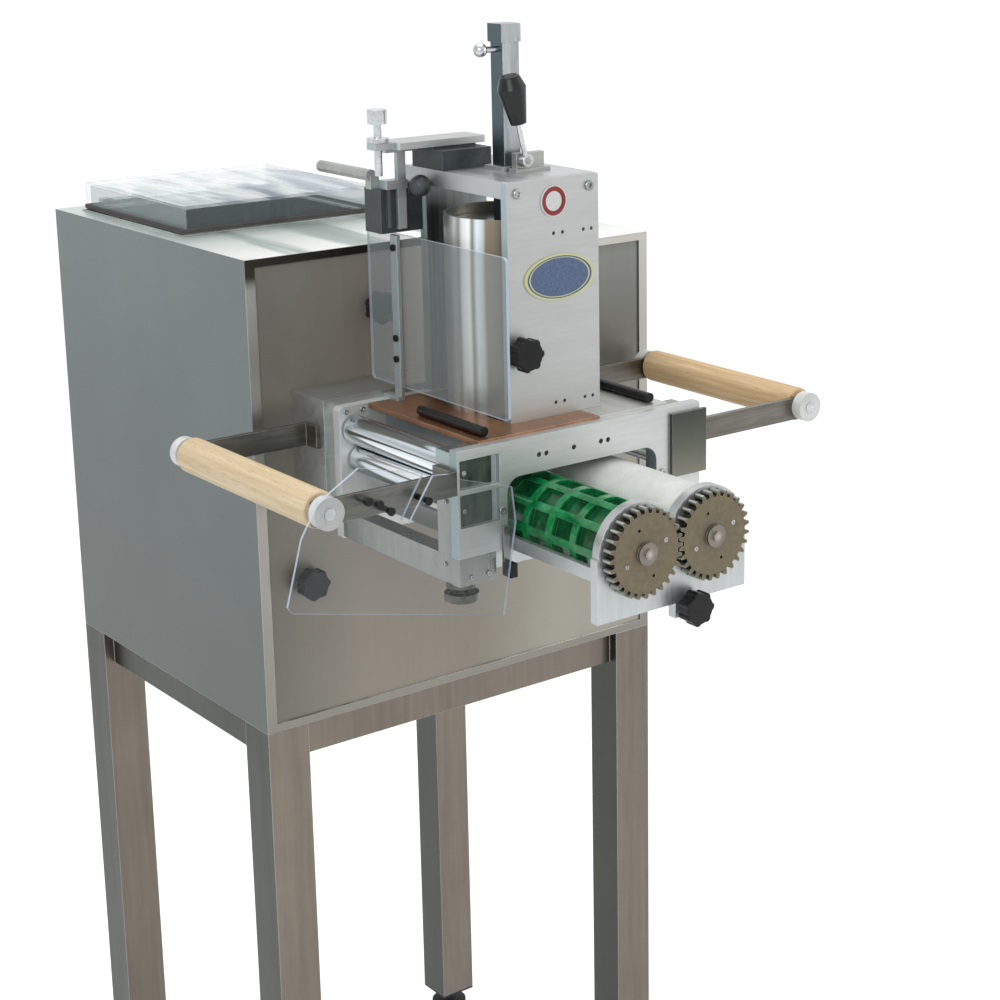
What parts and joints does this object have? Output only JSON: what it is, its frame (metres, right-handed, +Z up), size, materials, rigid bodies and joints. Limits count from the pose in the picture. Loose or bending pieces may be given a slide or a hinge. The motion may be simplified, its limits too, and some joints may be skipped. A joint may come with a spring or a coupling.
{
  "type": "ravioli machine",
  "caption": "Floor-standing double-sheet ravioli machine: filling piston head, wooden dough rolls and a pulled-out geared die cassette on a stainless cabinet.",
  "frame": {"origin": "middle of the footprint on the floor", "axes": "+X to the machine's right, +Y from the forming head back into the cabinet, +Z up"},
  "size_m": [0.668, 0.8914, 1.451],
  "materials": {
    "stainless": "brushed",
    "cabinet_steel": "brushed",
    "panel_steel": "brushed",
    "leg_steel": "brushed",
    "aluminium_plate": "satin",
    "bright_steel": "polished",
    "clear_sheet": "clear",
    "black_plastic": "matte",
    "dark_box": "satin",
    "wood": "satin",
    "nylon": "satin",
    "green_plastic": "gloss",
    "white_plastic": "satin",
    "gear_bronze": "satin",
    "bronze_plate": "satin",
    "badge_blue": "gloss",
    "disc_white": "gloss",
    "drive_paint": "satin"
  },
  "bodies": {
    "machine": {"stand_frame": "leg_steel", "levelling_feet": "black_plastic", "cabinet_shell": "cabinet_steel", "front_panel": "panel_steel", "dough_tub": "stainless", "lid_hinges": "stainless", "drive_unit": "drive_paint", "mount_box": "stainless", "rear_plate": "aluminium_plate", "portal_plate": "aluminium_plate", "corner_posts": "stainless", "head_feet": "bright_steel", "frame_bolts": "bright_steel", "filling_base": "aluminium_plate", "guide_table": "bronze_plate", "seal_bars": "black_plastic", "filling_cylinder": "bright_steel", "head_front_plate": "aluminium_plate", "head_beam": "aluminium_plate", "rear_column": "aluminium_plate", "badge": "badge_blue", "round_disc": "disc_white", "lever_base": "stainless", "adjuster_housing": "dark_box", "adjuster_plate": "aluminium_plate", "sensor_rod": "stainless", "upper_guard": "clear_sheet", "guard_strip": "aluminium_plate", "guard_screws": "black_plastic", "lower_guard": "clear_sheet", "roll_arms": "stainless", "roll_axles": "bright_steel", "roll_end_caps": "nylon", "cassette_rails": "aluminium_plate"},
    "tub_lid_body": {"tub_lid": "clear_sheet"},
    "paddle": {"mixing_paddle": "stainless"},
    "drive": {"drive_shaft": "bright_steel"},
    "upper_knob": {"upper_panel_knob": "black_plastic"},
    "lower_knob": {"lower_panel_knob": "black_plastic"},
    "plate_knob": {"head_knob": "black_plastic"},
    "piston_body": {"piston": "bright_steel", "piston_rod": "stainless", "rod_pin": "bright_steel"},
    "lever": {"clamp_lever": "bright_steel", "lever_grip": "black_plastic"},
    "level_screw": {"adjuster_screw": "bright_steel"},
    "feed_left_upper": {"feed_roller_left_upper": "bright_steel"},
    "feed_left_lower": {"feed_roller_left_lower": "bright_steel"},
    "feed_right_upper": {"feed_roller_right_upper": "bright_steel"},
    "feed_right_lower": {"feed_roller_right_lower": "bright_steel"},
    "left_roll": {"left_dough_roll": "wood"},
    "right_roll": {"right_dough_roll": "wood"},
    "cassette": {"front_end_plate": "aluminium_plate", "rear_end_plate": "aluminium_plate", "tie_bars": "aluminium_plate"},
    "cassette_lock": {"cassette_knob": "black_plastic"},
    "die_shaft": {"die_roller": "green_plastic", "left_gear": "gear_bronze"},
    "plain_shaft": {"plain_roller": "white_plastic", "right_gear": "gear_bronze"}
  },
  "joints": [
    {"name": "tub_lid_hinge", "type": "hinge", "parent": "machine", "child": "tub_lid_body", "pos_m": [-0.051, 0.41865, 1.2223], "axis": [-1, 0, 0], "range_deg": [0, 95]},
    {"name": "paddle_spin", "type": "hinge", "parent": "machine", "child": "paddle", "pos_m": [-0.051, 0.29065, 1.144], "axis": [0, 1, 0], "continuous": true},
    {"name": "drive_spin", "type": "hinge", "parent": "machine", "child": "drive", "pos_m": [-0.02725, 0.01065, 0.979], "axis": [0, 1, 0], "continuous": true},
    {"name": "upper_knob_turn", "type": "hinge", "parent": "machine", "child": "upper_knob", "pos_m": [-0.041, -0.00935, 1.1485], "axis": [0, 1, 0], "range_deg": [0, 720]},
    {"name": "lower_knob_turn", "type": "hinge", "parent": "machine", "child": "lower_knob", "pos_m": [-0.1385, -0.00935, 0.861], "axis": [0, 1, 0], "range_deg": [0, 720]},
    {"name": "head_knob_turn", "type": "hinge", "parent": "machine", "child": "plate_knob", "pos_m": [-0.0305, -0.24935, 1.138], "axis": [0, 1, 0], "range_deg": [0, 720]},
    {"name": "piston_slide", "type": "slide", "parent": "machine", "child": "piston_body", "axis": [0, 0, 1], "range_m": [-0.105, 0]},
    {"name": "lever_swing", "type": "hinge", "parent": "machine", "child": "lever", "pos_m": [0.016, -0.19935, 1.318], "axis": [0, 1, 0], "range_deg": [-30, 40]},
    {"name": "level_screw_turn", "type": "hinge", "parent": "machine", "child": "level_screw", "pos_m": [-0.095, -0.10435, 1.34], "axis": [0, 0, 1], "range_deg": [0, 720]},
    {"name": "feed_left_upper_spin", "type": "hinge", "parent": "machine", "child": "feed_left_upper", "pos_m": [-0.119, -0.17935, 1.042], "axis": [0, 1, 0], "continuous": true},
    {"name": "feed_left_lower_spin", "type": "hinge", "parent": "machine", "child": "feed_left_lower", "pos_m": [-0.113, -0.17935, 1.0095], "axis": [0, 1, 0], "continuous": true},
    {"name": "feed_right_upper_spin", "type": "hinge", "parent": "machine", "child": "feed_right_upper", "pos_m": [0.149, -0.17935, 1.042], "axis": [0, 1, 0], "continuous": true},
    {"name": "feed_right_lower_spin", "type": "hinge", "parent": "machine", "child": "feed_right_lower", "pos_m": [0.143, -0.17935, 1.0095], "axis": [0, 1, 0], "continuous": true},
    {"name": "left_roll_spin", "type": "hinge", "parent": "machine", "child": "left_roll", "pos_m": [-0.284, -0.16435, 1.036], "axis": [0, 1, 0], "continuous": true},
    {"name": "right_roll_spin", "type": "hinge", "parent": "machine", "child": "right_roll", "pos_m": [0.314, -0.16435, 1.036], "axis": [0, 1, 0], "continuous": true},
    {"name": "cassette_slide", "type": "slide", "parent": "machine", "child": "cassette", "axis": [0, 1, 0], "range_m": [-0.085, 0.1254]},
    {"name": "cassette_knob_turn", "type": "hinge", "parent": "cassette", "child": "cassette_lock", "pos_m": [0.033, -0.42935, 0.912], "axis": [0, 1, 0], "range_deg": [0, 720]},
    {"name": "die_roller_spin", "type": "hinge", "parent": "cassette", "child": "die_shaft", "pos_m": [-0.02725, -0.31935, 0.979], "axis": [0, 1, 0], "continuous": true},
    {"name": "plain_roller_spin", "type": "hinge", "parent": "cassette", "child": "plain_shaft", "pos_m": [0.05725, -0.31935, 0.979], "axis": [0, 1, 0], "continuous": true}
  ],
  "couplings": [
    {"joint": "plain_roller_spin", "follows": "die_roller_spin", "ratio": -1},
    {"joint": "feed_left_lower_spin", "follows": "feed_left_upper_spin", "ratio": -1},
    {"joint": "feed_right_upper_spin", "follows": "feed_left_upper_spin", "ratio": -1},
    {"joint": "feed_right_lower_spin", "follows": "feed_left_upper_spin", "ratio": 1}
  ]
}
